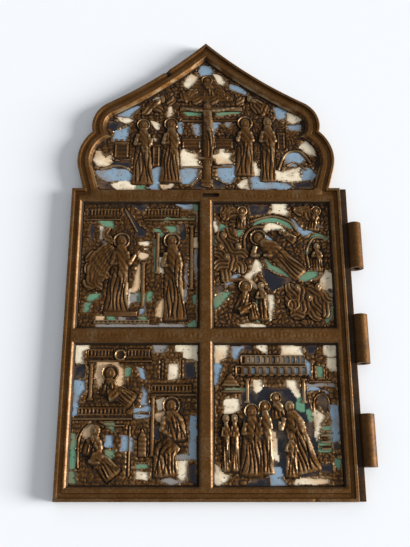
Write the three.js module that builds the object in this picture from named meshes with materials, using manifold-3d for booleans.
// One leaf of a folding icon, lying on its back: a cast brass plate with an ogee gable, a moulded
// frame, five sunk pictures in relief with enamel round the figures, and three hinge knuckles.
// Millimetres, +Z up out of the pictures, +Y towards the gable's point.
import * as THREE from "three";
import { mergeVertices } from "three/addons/utils/BufferGeometryUtils.js";
import Module from "manifold-3d";

const wasm = await Module();
wasm.setup();

// Outline of the leaf
const BODY_WIDTH = 99.6;
const BODY_HEIGHT = 111.5;
const FLANGE_WIDTH = 2.4;
const LOBE_CENTRE = new THREE.Vector2(32.5, 123.5);
const LOBE_RADIUS = 16;
const LOBE_FOOT_ANGLE = THREE.MathUtils.degToRad(-15);
const SHOULDER_CENTRE = new THREE.Vector2(32.7, 138);
const SHOULDER_RADIUS = 11;
const OGEE_ANGLE = THREE.MathUtils.degToRad(62);
const OGEE_RADIUS = 175;
const ARC_STEPS = 5;

// Heights over the back
const GROUND_Z = 1.6;
const ENAMEL_Z = 2.2;
const FLANGE_Z = 3.0;
const BAND_Z = 3.4;
const FRAME_Z = 3.8;
const RIM_Z = 4.2;
const BAND_RELIEF_Z = 2.5;
const LINE_Z = 2.75;
const HALO_Z = 2.45;
const HALO_RIM_Z = 2.95;
const SIDE_Z = 2.4;
const ROBE_Z = 2.85;
const FOLD_Z = 3.3;
const HEAD_Z = 3.55;

// Frame
const RIM_WIDTH = 1.2;
const BAND_END = 2.6;
const WINDOW_SLOPE = 1.2;
const GABLE_INSET = 5.4;
const GABLE_BASE = 112;
const WINDOW_WIDTH = 42.6;
const WINDOW_HEIGHT = 47.1;
const WINDOW_X = 24.05;
const LOWER_Y = 28.7;
const UPPER_Y = 82.2;

// Hinge
const KNUCKLE_LENGTH = 17.3;
const KNUCKLE_FIRST = 11;
const KNUCKLE_COUNT = 3;
const KNUCKLE_RADIUS = 2.6;
const BORE_RADIUS = 1.3;
const KNUCKLE_X = 54.2;
const KNUCKLE_Z = 2.7;
const KNUCKLE_SIDES = 12;

// Relief
const EMBED = 0.5;
const EDGE_BEVEL = 0.22;
const CLEARING = 0.3;
const HALO_SIDES = 7;
const HEAD_SIDES = 5;
const HEAD_RINGS = 3;
const ROBE_STATIONS = [0, 0.7, 0.92];
const NECK_SHARE = 0.12;
const SEATED_SHARES = [1.1, 1, 1.1, 0.6];
const SLEEVE_SHARE = 0.9;
const CUFF_SHARE = 0.5;
const SLEEVE_LIFT = 0.1;
const WING_SHARES = [0.7, 1, 0.7];
const FEATHER_LIFT = 0.3;
const FEATHER_DIP = 0.1;
const LEDGE_LIFT = 0.15;
const CAPITAL_RATIO = 2.2;
const FOLD_SWAY = 0.35;
const FOLD_TURN = 2.4;
const FOLD_FADE = 0.6;
const ROOM_SIDES = 5;
const ROOM_RATIO = 1.15;

// Losses in the casting
const SLOT = { x: 1.7, y: 108.8, length: 6, width: 1.2, depth: 0.9 };
const NICK = { x: -15.2, y: 161.4, size: 1.3, sides: 6 };

// Closed three.js geometry as a solid for joining and cutting.
function solid(geometry) {
  const bare = geometry.clone();
  bare.deleteAttribute("normal");
  bare.deleteAttribute("uv");
  const merged = mergeVertices(bare, 1e-4);
  return new wasm.Manifold(
    new wasm.Mesh({
      numProp: 3,
      vertProperties: merged.attributes.position.array,
      triVerts: new Uint32Array(merged.index.array),
    }),
  );
}

// A solid back as geometry.
function geometryOf(body) {
  const mesh = body.getMesh();
  const geometry = new THREE.BufferGeometry();
  geometry.setAttribute("position", new THREE.BufferAttribute(mesh.vertProperties, 3));
  geometry.setIndex(new THREE.BufferAttribute(mesh.triVerts, 1));
  geometry.computeVertexNormals();
  return geometry;
}

// An outline raised from bottom to top; its ends are chamfered and its sides stand off by grow.
function prism(points, bottom, top, chamfer = 0, grow = 0) {
  const geometry = new THREE.ExtrudeGeometry(new THREE.Shape(points), {
    depth: top - bottom - 2 * chamfer,
    bevelEnabled: chamfer > 0,
    bevelThickness: chamfer,
    bevelSize: chamfer,
    bevelOffset: grow - chamfer,
    bevelSegments: 1,
  });
  geometry.translate(0, 0, bottom + chamfer);
  return solid(geometry);
}

function rectangle(x, y, width, height) {
  return [
    new THREE.Vector2(x - width / 2, y - height / 2),
    new THREE.Vector2(x + width / 2, y - height / 2),
    new THREE.Vector2(x + width / 2, y + height / 2),
    new THREE.Vector2(x - width / 2, y + height / 2),
  ];
}

function arc(centre, radius, from, to, steps = ARC_STEPS) {
  const curve = new THREE.EllipseCurve(centre.x, centre.y, radius, radius, from, to, to < from);
  return curve.getPoints(steps);
}

function circle(x, y, radius, sides) {
  return arc(new THREE.Vector2(x, y), radius, 0, 2 * Math.PI, sides).slice(0, sides);
}

// Right half of the gable's edge, set in by a distance, from its foot at a height up to the point.
function gableHalf(inset, foot) {
  const lobe = LOBE_RADIUS - inset;
  const shoulder = SHOULDER_RADIUS - inset;
  const apart = SHOULDER_CENTRE.clone().sub(LOBE_CENTRE);
  const along = (lobe ** 2 - shoulder ** 2 + apart.lengthSq()) / (2 * apart.length());
  const notchAngle = apart.angle() - Math.acos(along / lobe);
  const notch = arc(LOBE_CENTRE, lobe, notchAngle, notchAngle, 1)[0];
  const rise = notch.clone().sub(SHOULDER_CENTRE).angle() - 2 * Math.PI;
  const flank = arc(LOBE_CENTRE, lobe, LOBE_FOOT_ANGLE, LOBE_FOOT_ANGLE, 1)[0];
  const slope = Math.tan(LOBE_FOOT_ANGLE);
  const reach = SHOULDER_RADIUS + OGEE_RADIUS;
  const ogee = new THREE.Vector2(Math.cos(OGEE_ANGLE), Math.sin(OGEE_ANGLE));
  ogee.multiplyScalar(reach).add(SHOULDER_CENTRE);
  const tip = Math.PI + Math.acos(ogee.x / (OGEE_RADIUS + inset));
  return [
    new THREE.Vector2(flank.x - (foot - flank.y) * slope, foot),
    ...arc(LOBE_CENTRE, lobe, LOBE_FOOT_ANGLE, notchAngle),
    ...arc(SHOULDER_CENTRE, shoulder, rise, OGEE_ANGLE).slice(1),
    ...arc(ogee, OGEE_RADIUS + inset, Math.PI + OGEE_ANGLE, tip).slice(1),
  ];
}

function mirrored(points) {
  return points.map((p) => new THREE.Vector2(-p.x, p.y)).reverse();
}

function gableOutline(inset, foot) {
  const half = gableHalf(inset, foot);
  return [...half, ...mirrored(half).slice(1)];
}

// The leaf's whole edge without the hinge flange, set in by a distance.
function leafOutline(inset) {
  const side = BODY_WIDTH / 2 - inset;
  const top = BODY_HEIGHT - inset;
  return [
    new THREE.Vector2(-side, inset),
    new THREE.Vector2(side, inset),
    new THREE.Vector2(side, top),
    ...gableOutline(inset, top),
    new THREE.Vector2(-side, top),
  ];
}

// Both sides of a bent line as one outline, with a width at each of its places.
function strip(points, widths) {
  const last = points.length - 1;
  const sides = points.map((p, i) => {
    const before = points[Math.max(i - 1, 0)];
    const after = points[Math.min(i + 1, last)];
    const run = after.clone().sub(before).normalize();
    const across = new THREE.Vector2(run.y, -run.x).multiplyScalar(widths[i] / 2);
    return [p.clone().add(across), p.clone().sub(across)];
  });
  return [...sides.map((s) => s[0]), ...sides.map((s) => s[1]).reverse()];
}

function vectors(pairs) {
  return pairs.map(([x, y]) => new THREE.Vector2(x, y));
}

function spline(pairs, steps) {
  return new THREE.SplineCurve(vectors(pairs)).getPoints(steps);
}

// One sunk picture: the relief that stands on its ground, and the room the relief takes in the enamel.
class Picture {
  constructor(name, x, y, floor, bed) {
    this.name = name;
    this.origin = new THREE.Vector2(x, y);
    this.floor = floor;
    this.bed = bed;
    this.relief = [];
    this.room = [];
  }

  placed(points) {
    return points.map((p) => p.clone().add(this.origin));
  }

  // Keeps enamel away from an outline.
  clear(points) {
    const room = prism(this.placed(points), GROUND_Z - EMBED, ENAMEL_Z + EMBED, CLEARING / 2, CLEARING);
    this.room.push(room);
  }

  // Raises an outline, given round the picture's origin, from the ground.
  raise(points, top = LINE_Z, bevel = 0) {
    this.relief.push(prism(this.placed(points), GROUND_Z - EMBED, top, bevel));
    this.clear(points);
  }

  // A form along a spine of places, with a width at each: ridges run along it, valleys lie between them,
  // and its sides fall to the ground. In cloth the ridges sway and the valleys grow shallow upwards.
  drape(spine, widths, ridges, top, valley, cloth = false) {
    const last = spine.length - 1;
    const columns = 2 * ridges;
    const outline = strip(spine, widths);
    const box = new THREE.BoxGeometry(1, 1, 1, columns, last, 1);
    const spots = box.attributes.position;
    for (let i = 0; i < spots.count; i++) {
      const column = Math.round((spots.getX(i) + 0.5) * columns);
      const station = Math.round((spots.getY(i) + 0.5) * last);
      const left = outline[outline.length - 1 - station];
      const edge = column === 0 || column === columns;
      const sway = edge || !cloth ? 0 : (FOLD_SWAY / columns) * Math.sin(FOLD_TURN * column + station);
      const spot = left.clone().lerp(outline[station], column / columns + sway).add(this.origin);
      const dip = (top - valley) * (cloth ? 1 - (FOLD_FADE * station) / last : 1);
      const inside = column % 2 === 1 ? top : top - dip;
      const roof = edge ? SIDE_Z : inside;
      spots.setXYZ(i, spot.x, spot.y, spots.getZ(i) > 0 ? roof : GROUND_Z - EMBED);
    }
    this.relief.push(solid(box));
    this.clear(outline);
  }

  block(x, y, width, height, top = LINE_Z) {
    this.raise(rectangle(x, y, width, height), top);
  }

  // A roofed bar through a few places.
  line(pairs, width, top = LINE_Z, endWidth = width) {
    const widths = pairs.map((_, i) => THREE.MathUtils.lerp(width, endWidth, i / (pairs.length - 1)));
    this.drape(vectors(pairs), widths, 1, top, top);
  }

  curve(pairs, width, steps) {
    const spine = spline(pairs, steps);
    this.drape(spine, spine.map(() => width), 1, LINE_Z, LINE_Z);
  }

  // A level band crossed by a row of upright ridges.
  frieze(from, to, y, height, count) {
    const ends = vectors([[(from + to) / 2, y - height / 2], [(from + to) / 2, y + height / 2]]);
    this.drape(ends, [to - from, to - from], count, LINE_Z + LEDGE_LIFT, BAND_RELIEF_Z);
  }

  // A shaft with a wider block at its head.
  column(x, from, to, width) {
    this.line([[x, from], [x, to]], width);
    this.block(x, to, width * CAPITAL_RATIO, width, LINE_Z + LEDGE_LIFT);
  }

  dome(x, y, radius) {
    const ball = new THREE.SphereGeometry(radius, HEAD_SIDES, HEAD_RINGS);
    ball.rotateX(Math.PI / 2);
    ball.scale(1, 1, (HEAD_Z - HALO_Z) / radius);
    ball.translate(x + this.origin.x, y + this.origin.y, HALO_Z);
    this.relief.push(solid(ball));
  }

  // A dished disc with a raised edge.
  halo(x, y, radius) {
    const profile = vectors([
      [0, GROUND_Z - EMBED],
      [radius, GROUND_Z - EMBED],
      [radius, HALO_RIM_Z],
      [0, HALO_Z],
    ]);
    const dish = new THREE.LatheGeometry(profile, HALO_SIDES);
    dish.rotateX(Math.PI / 2);
    dish.translate(x + this.origin.x, y + this.origin.y, 0);
    this.relief.push(solid(dish));
    this.clear(circle(x, y, radius * ROOM_RATIO, ROOM_SIDES));
  }

  // A head, on a halo where the radius of one is given.
  head(x, y, size, halo) {
    if (halo > 0) {
      this.halo(x, y, halo);
    } else {
      this.clear(circle(x, y, size * ROOM_RATIO, ROOM_SIDES));
    }
    this.dome(x, y, size);
  }

  // A robed figure along the line from its foot to its head, with folds from shoulder to hem.
  figure({ foot, head, hem, shoulder, halo = 0, size = 1.5, folds = 3, hand = null }) {
    const base = new THREE.Vector2(...foot);
    const top = new THREE.Vector2(...head);
    const spine = ROBE_STATIONS.map((t) => base.clone().lerp(top, t));
    this.head(...head, size, halo);
    this.drape(spine, [2 * hem, 2 * shoulder, shoulder], folds, FOLD_Z, ROBE_Z, true);
    if (hand) {
      const ends = [spine[1].toArray(), hand];
      this.line(ends, shoulder * SLEEVE_SHARE, FOLD_Z + SLEEVE_LIFT, shoulder * CUFF_SHARE);
    }
  }

  // A figure that sits: folds run from its foot over knee and hip to the neck.
  seated({ head, hip, knee, foot, width, halo = 0, size = 1.5 }) {
    const neck = new THREE.Vector2(...head).lerp(new THREE.Vector2(...hip), NECK_SHARE);
    const spine = [...vectors([foot, knee, hip]), neck];
    this.head(...head, size, halo);
    this.drape(spine, SEATED_SHARES.map((share) => share * width), 2, FOLD_Z, ROBE_Z, true);
  }

  // A wing from its root over a bend to its tip, with ridged feathers.
  wing({ root, bend, tip, width, feathers = 2 }) {
    const spine = spline([root, bend, tip], WING_SHARES.length - 1);
    const widths = WING_SHARES.map((share) => share * width);
    this.drape(spine, widths, feathers, LINE_Z + FEATHER_LIFT, LINE_Z - FEATHER_DIP);
  }

  // Enamel over the ground wherever no relief stands, as one sheet.
  enamel() {
    const sheet = prism(this.bed, GROUND_Z, ENAMEL_Z);
    const parts = sheet.subtract(wasm.Manifold.union(this.room)).decompose();
    return parts.sort((a, b) => b.volume() - a.volume())[0];
  }
}

function squarePicture(name, x, y) {
  const floor = rectangle(x, y, WINDOW_WIDTH, WINDOW_HEIGHT);
  const bed = rectangle(x, y, WINDOW_WIDTH - 2 * CLEARING, WINDOW_HEIGHT - 2 * CLEARING);
  return new Picture(name, x, y, floor, bed);
}

// Gable: a cross between two groups of standing figures, and a half figure in the point above.
function gable() {
  const floor = gableOutline(GABLE_INSET, GABLE_BASE);
  const bed = gableOutline(GABLE_INSET + CLEARING, GABLE_BASE + CLEARING);
  const p = new Picture("gable", 0, GABLE_BASE, floor, bed);
  p.line([[0.4, 1], [0.4, 39]], 2.2);
  p.line([[-10, 33.8], [14, 33.8]], 2.4, LINE_Z + 0.1);
  p.line([[-9.5, 32.4], [0.4, 31.4], [11, 32.4]], 1.5, FOLD_Z);
  p.line([[0.4, 32], [0.8, 9]], 3, FOLD_Z, 1.5);
  p.dome(0.4, 34.4, 1.4);
  p.raise(vectors([[-11.4, 37.4], [10.5, 37.4], [3.6, 47.5], [-2.8, 47.5]]));
  p.figure({ foot: [0.4, 38], head: [0.4, 46.4], hem: 3.4, shoulder: 2.6, halo: 2.3, size: 1.4, folds: 2 });
  [-1, 1].forEach((side) => {
    p.wing({ root: [side * 3.5, 42], bend: [side * 6, 41], tip: [side * 8.4, 38.4], width: 2.2 });
    p.figure({
      foot: [side * 23, 34.5], head: [side * 17, 38.2],
      hem: 2, shoulder: 1.5, size: 1.1, folds: 2,
    });
  });
  p.figure({ foot: [-24, 1.5], head: [-24.1, 26.7], hem: 4.6, shoulder: 3, halo: 2.6, hand: [-20.6, 21] });
  p.figure({ foot: [-13.6, 2.4], head: [-13.4, 27], hem: 4.4, shoulder: 3, halo: 2.8 });
  p.figure({ foot: [14.6, 5], head: [15.1, 27.4], hem: 4, shoulder: 3, halo: 3, hand: [11.8, 21.5] });
  p.figure({ foot: [23.4, 2.6], head: [23.7, 27.9], hem: 3.2, shoulder: 2.9, folds: 2 });
  p.block(-31.3, 18.4, 5.4, 9);
  p.curve([[-40, 8], [-34, 9.6], [-29.4, 8.4]], 0.8, 3);
  p.curve([[27.5, 8], [30.5, 14.6], [36, 15.4], [39.6, 10.6]], 1, 3);
  p.curve([[30.6, 9.4], [34, 10.8], [38, 7.6]], 0.8, 3);
  p.line([[-8.8, 9], [-1.4, 9]], 0.9);
  p.line([[2.4, 9], [10, 9]], 0.9);
  p.frieze(-9.2, -2.4, 21.6, 5.4, 2);
  p.frieze(3.2, 10.4, 21.6, 5.4, 2);
  p.block(0.4, 2.4, 4.6, 3);
  return p;
}

// Upper left: a winged figure steps towards a standing figure before columns and an entablature.
function upperLeft() {
  const p = squarePicture("upper_left", -WINDOW_X, UPPER_Y);
  p.wing({ root: [-9.6, 6.4], bend: [-14, 0], tip: [-18, -9], width: 6.4, feathers: 3 });
  p.wing({ root: [-9.6, 8], bend: [-13, 11.4], tip: [-10.8, 14.4], width: 2.4 });
  p.figure({
    foot: [-7.6, -17.6], head: [-6.7, 8.7], hem: 5,
    shoulder: 3.4, halo: 3, size: 1.7, hand: [-1.4, 3.6],
  });
  p.figure({ foot: [13.4, -21.4], head: [11.6, 8.7], hem: 5, shoulder: 3.4, halo: 3, size: 1.7 });
  p.block(-6.4, -18.7, 12, 1.8);
  p.frieze(-19.4, -8, 19.4, 5.4, 3);
  p.frieze(1.6, 14, 19.4, 5.4, 3);
  p.line([[-6, 21.6], [-1.2, 12.4]], 1.2);
  p.column(6.4, -3.4, 12, 1.1);
  p.column(18.8, -9.4, 14.6, 1.1);
  p.column(1.4, -16.4, 0.4, 1.3);
  p.frieze(-15.4, 4, -21.6, 1.6, 3);
  return p;
}

// Upper right: a lying figure on a hillside, with angels above and small groups on every side.
function upperRight() {
  const p = squarePicture("upper_right", WINDOW_X, UPPER_Y);
  p.figure({
    foot: [10.4, -4.6], head: [-5, 9.8], hem: 3.2,
    shoulder: 3.4, halo: 3.1, size: 1.8,
  });
  p.curve([[-9.6, 3.4], [-10, 10], [-7, 14], [-2.6, 14.4]], 0.9, 4);
  p.figure({ foot: [8.6, 8.6], head: [3.4, 12.4], hem: 2, shoulder: 1.6, size: 1.2, folds: 2 });
  p.wing({ root: [-12.6, 20.4], bend: [-15.6, 21], tip: [-18, 18.6], width: 2.2 });
  p.figure({
    foot: [-11.4, 13.4], head: [-10.7, 20.4], hem: 2.4,
    shoulder: 1.8, halo: 2, size: 1.1, folds: 2,
  });
  p.wing({ root: [14.6, 20.6], bend: [11.6, 21.4], tip: [8.4, 20.8], width: 2.2 });
  p.figure({
    foot: [15.2, 12.6], head: [16.6, 20.4], hem: 2.8,
    shoulder: 1.8, halo: 2, size: 1.1, folds: 2,
  });
  [[-17.2, 6.6], [-14, 8], [-10.8, 5]].forEach(([x, y]) => {
    p.figure({ foot: [x - 0.4, y - 12], head: [x, y], hem: 1.6, shoulder: 1.5, size: 1.2, folds: 2 });
  });
  p.block(-14.4, -6.2, 9, 1.6);
  p.curve([[13.2, -1.4], [12.6, 5], [15, 9.8], [18.6, 10]], 0.8, 3);
  p.figure({ foot: [16.4, -3], head: [16.2, 6.4], hem: 2.6, shoulder: 2, size: 1.3, folds: 2 });
  p.seated({
    head: [-10, -8.8], hip: [-12.4, -18],
    knee: [-7.6, -16], foot: [-7, -21], width: 4, halo: 2.5,
  });
  p.figure({ foot: [-3.4, -21.4], head: [-4.4, -8.4], hem: 1.5, shoulder: 1.5, size: 1.2, folds: 2 });
  p.halo(6.6, -16.6, 2.5);
  p.seated({
    head: [7.8, -11.4], hip: [10.4, -15.4],
    knee: [11.6, -18.6], foot: [9, -21], width: 2.6, size: 1.4,
  });
  p.seated({
    head: [15.4, -9.6], hip: [17, -14.6],
    knee: [13.6, -16.6], foot: [15, -20.8], width: 3, size: 1.4,
  });
  p.curve([[-8, 16.4], [0, 18.6], [6.6, 16.6], [9, 13.4]], 0.8, 3);
  return p;
}

// Lower left: rooms with entablatures and ledges, a figure in bed and two seated figures.
function lowerLeft() {
  const p = squarePicture("lower_left", -WINDOW_X, LOWER_Y);
  p.figure({ foot: [-2, 3.6], head: [-8.8, 13.6], hem: 2.8, shoulder: 2.8, halo: 2.8, size: 1.6, folds: 2 });
  p.frieze(-17, -8.4, 20.8, 3.6, 3);
  p.frieze(-3, 4.6, 20.8, 3.6, 3);
  p.halo(-5.7, 20, 2.1);
  p.column(-15.6, 4.6, 17, 0.9);
  p.frieze(-19.4, -3, 0.8, 3.8, 4);
  p.frieze(5.4, 19.4, 8.6, 3.4, 3);
  p.seated({
    head: [12.4, 2], hip: [13.4, -8.6], knee: [10.4, -12.4],
    foot: [11.4, -21], width: 6, halo: 3, size: 1.7,
  });
  p.curve([[-18.4, -18], [-18.4, -8], [-14.6, -3.4], [-10.6, -4.6]], 0.9, 4);
  p.seated({
    head: [-12, -5.8], hip: [-14, -13.4], knee: [-9, -15.4],
    foot: [-5, -20.8], width: 4.4, size: 1.6,
  });
  p.raise(vectors([[1.2, -14.4], [4, -14.4], [4, -8], [2.6, -5], [1.2, -8]]));
  p.line([[-1.6, -20.6], [-1.6, -4.4]], 0.8);
  p.block(-6.2, -4.2, 5.6, 0.8);
  return p;
}

// Lower right: a crowd of standing figures meets a bowing figure before a colonnaded building.
function lowerRight() {
  const p = squarePicture("lower_right", WINDOW_X, LOWER_Y);
  p.frieze(-12, 10.4, 18.4, 3.4, 5);
  p.frieze(-13, 10.8, 14.2, 3.6, 4);
  p.raise(vectors([[-19, 9.2], [-12.4, 9.2], [-15.4, 13.6], [-16.2, 13.6]]));
  p.line([[-19, 7.4], [-11.6, 7.4]], 0.8);
  p.column(-10, 3.6, 11.4, 0.9);
  p.column(9.4, 3.8, 11.4, 0.8);
  p.line([[11.4, 9.8], [19, 9.8]], 0.8);
  p.curve([[12, 0.4], [12.4, 5.8], [15.6, 7.8], [18.4, 5.4], [18.6, 0.6]], 0.8, 5);
  [-17.4, -14.5].forEach((x) => {
    p.figure({ foot: [x, -19.4], head: [x + 0.1, -1.8], hem: 1.5, shoulder: 1.4, size: 1.2, folds: 2 });
  });
  p.figure({
    foot: [-4, -20.4], head: [-4.2, 2.1], hem: 2.8,
    shoulder: 2.4, halo: 2.2, size: 1.4, folds: 2,
  });
  p.figure({ foot: [-9, -20.8], head: [-8.6, 0.4], hem: 4, shoulder: 3, halo: 2.5 });
  p.figure({ foot: [0.6, -2.4], head: [-0.4, 5], hem: 2.8, shoulder: 2, halo: 2.1, size: 1.3, folds: 2 });
  p.figure({
    foot: [10.8, -19.6], head: [4.2, 2.2], hem: 4.6,
    shoulder: 3.4, size: 1.8, hand: [0.4, -2.6],
  });
  p.figure({ foot: [4.2, -21.2], head: [4.4, -7.6], hem: 2.2, shoulder: 1.5, size: 0.9, folds: 2 });
  [-7.4, -9.5, -11.9].forEach((y) => p.block(16, y, 3.6, 0.9));
  p.column(19.4, -9.6, 4, 1.1);
  return p;
}

// The sunk room over a picture's ground, opening out to the frame.
function recess(floor) {
  const geometry = new THREE.ExtrudeGeometry(new THREE.Shape(floor), {
    depth: RIM_Z,
    bevelEnabled: true,
    bevelThickness: FRAME_Z - GROUND_Z,
    bevelSize: WINDOW_SLOPE,
    bevelSegments: 1,
  });
  geometry.translate(0, 0, FRAME_Z);
  return solid(geometry);
}

// A bored hinge knuckle whose lower end stands at a height along the edge.
function knuckle(start) {
  const profile = vectors([
    [BORE_RADIUS, 0],
    [KNUCKLE_RADIUS, 0],
    [KNUCKLE_RADIUS, KNUCKLE_LENGTH],
    [BORE_RADIUS, KNUCKLE_LENGTH],
    [BORE_RADIUS, 0],
  ]);
  const tube = new THREE.LatheGeometry(profile, KNUCKLE_SIDES);
  tube.translate(KNUCKLE_X, start, KNUCKLE_Z);
  const inner = BODY_WIDTH / 2 + FLANGE_WIDTH / 2;
  const outer = KNUCKLE_X - (KNUCKLE_RADIUS + BORE_RADIUS) / 2;
  const web = rectangle((inner + outer) / 2, start + KNUCKLE_LENGTH / 2, outer - inner, KNUCKLE_LENGTH);
  return solid(tube).add(prism(web, EMBED, FLANGE_Z));
}

function plate(pictures) {
  const ring = prism(leafOutline(0), BAND_Z - EMBED, RIM_Z);
  const rim = ring.subtract(prism(leafOutline(RIM_WIDTH), 0, RIM_Z + EMBED));
  const flangeX = (BODY_WIDTH + FLANGE_WIDTH) / 2;
  const flangePlan = rectangle(flangeX - EMBED, BODY_HEIGHT / 2, FLANGE_WIDTH + 2 * EMBED, BODY_HEIGHT);
  const flange = prism(flangePlan, 0, FLANGE_Z);
  const frame = prism(leafOutline(BAND_END), BAND_Z - EMBED, FRAME_Z);
  let body = prism(leafOutline(0), 0, BAND_Z).add(rim).add(flange).add(frame);
  pictures.forEach((p) => {
    body = body.subtract(recess(p.floor));
  });
  const slot = rectangle(SLOT.x, SLOT.y, SLOT.length, SLOT.width);
  body = body.subtract(prism(slot, FRAME_Z - SLOT.depth, RIM_Z, EDGE_BEVEL));
  body = body.subtract(prism(circle(NICK.x, NICK.y, NICK.size, NICK.sides), BAND_Z, RIM_Z + EMBED));
  for (let i = 0; i < KNUCKLE_COUNT; i++) {
    body = body.add(knuckle(KNUCKLE_FIRST + 2 * i * KNUCKLE_LENGTH));
  }
  return wasm.Manifold.union([body, ...pictures.flatMap((p) => p.relief)]);
}

const pictures = [gable(), upperLeft(), upperRight(), lowerLeft(), lowerRight()];
const part = new THREE.Group();
part.name = "icon_leaf";

function addPiece(name, body, material) {
  const mesh = new THREE.Mesh(geometryOf(body), material);
  mesh.name = name;
  part.add(mesh);
}

const brass = new THREE.MeshStandardMaterial({ color: 0x6b4a22, roughness: 0.45, metalness: 1 });
addPiece("leaf", plate(pictures), brass);
pictures.forEach((p) => {
  const enamel = new THREE.MeshStandardMaterial({ color: 0x7c9abf, roughness: 0.25, metalness: 0 });
  addPiece("enamel_" + p.name, p.enamel(), enamel);
});

// The part's origin lies under the middle of its box.
const farRight = KNUCKLE_X + KNUCKLE_RADIUS;
const tip = gableHalf(0, BODY_HEIGHT).at(-1).y;
part.position.set((BODY_WIDTH / 2 - farRight) / 2, -tip / 2, 0);

export default part;
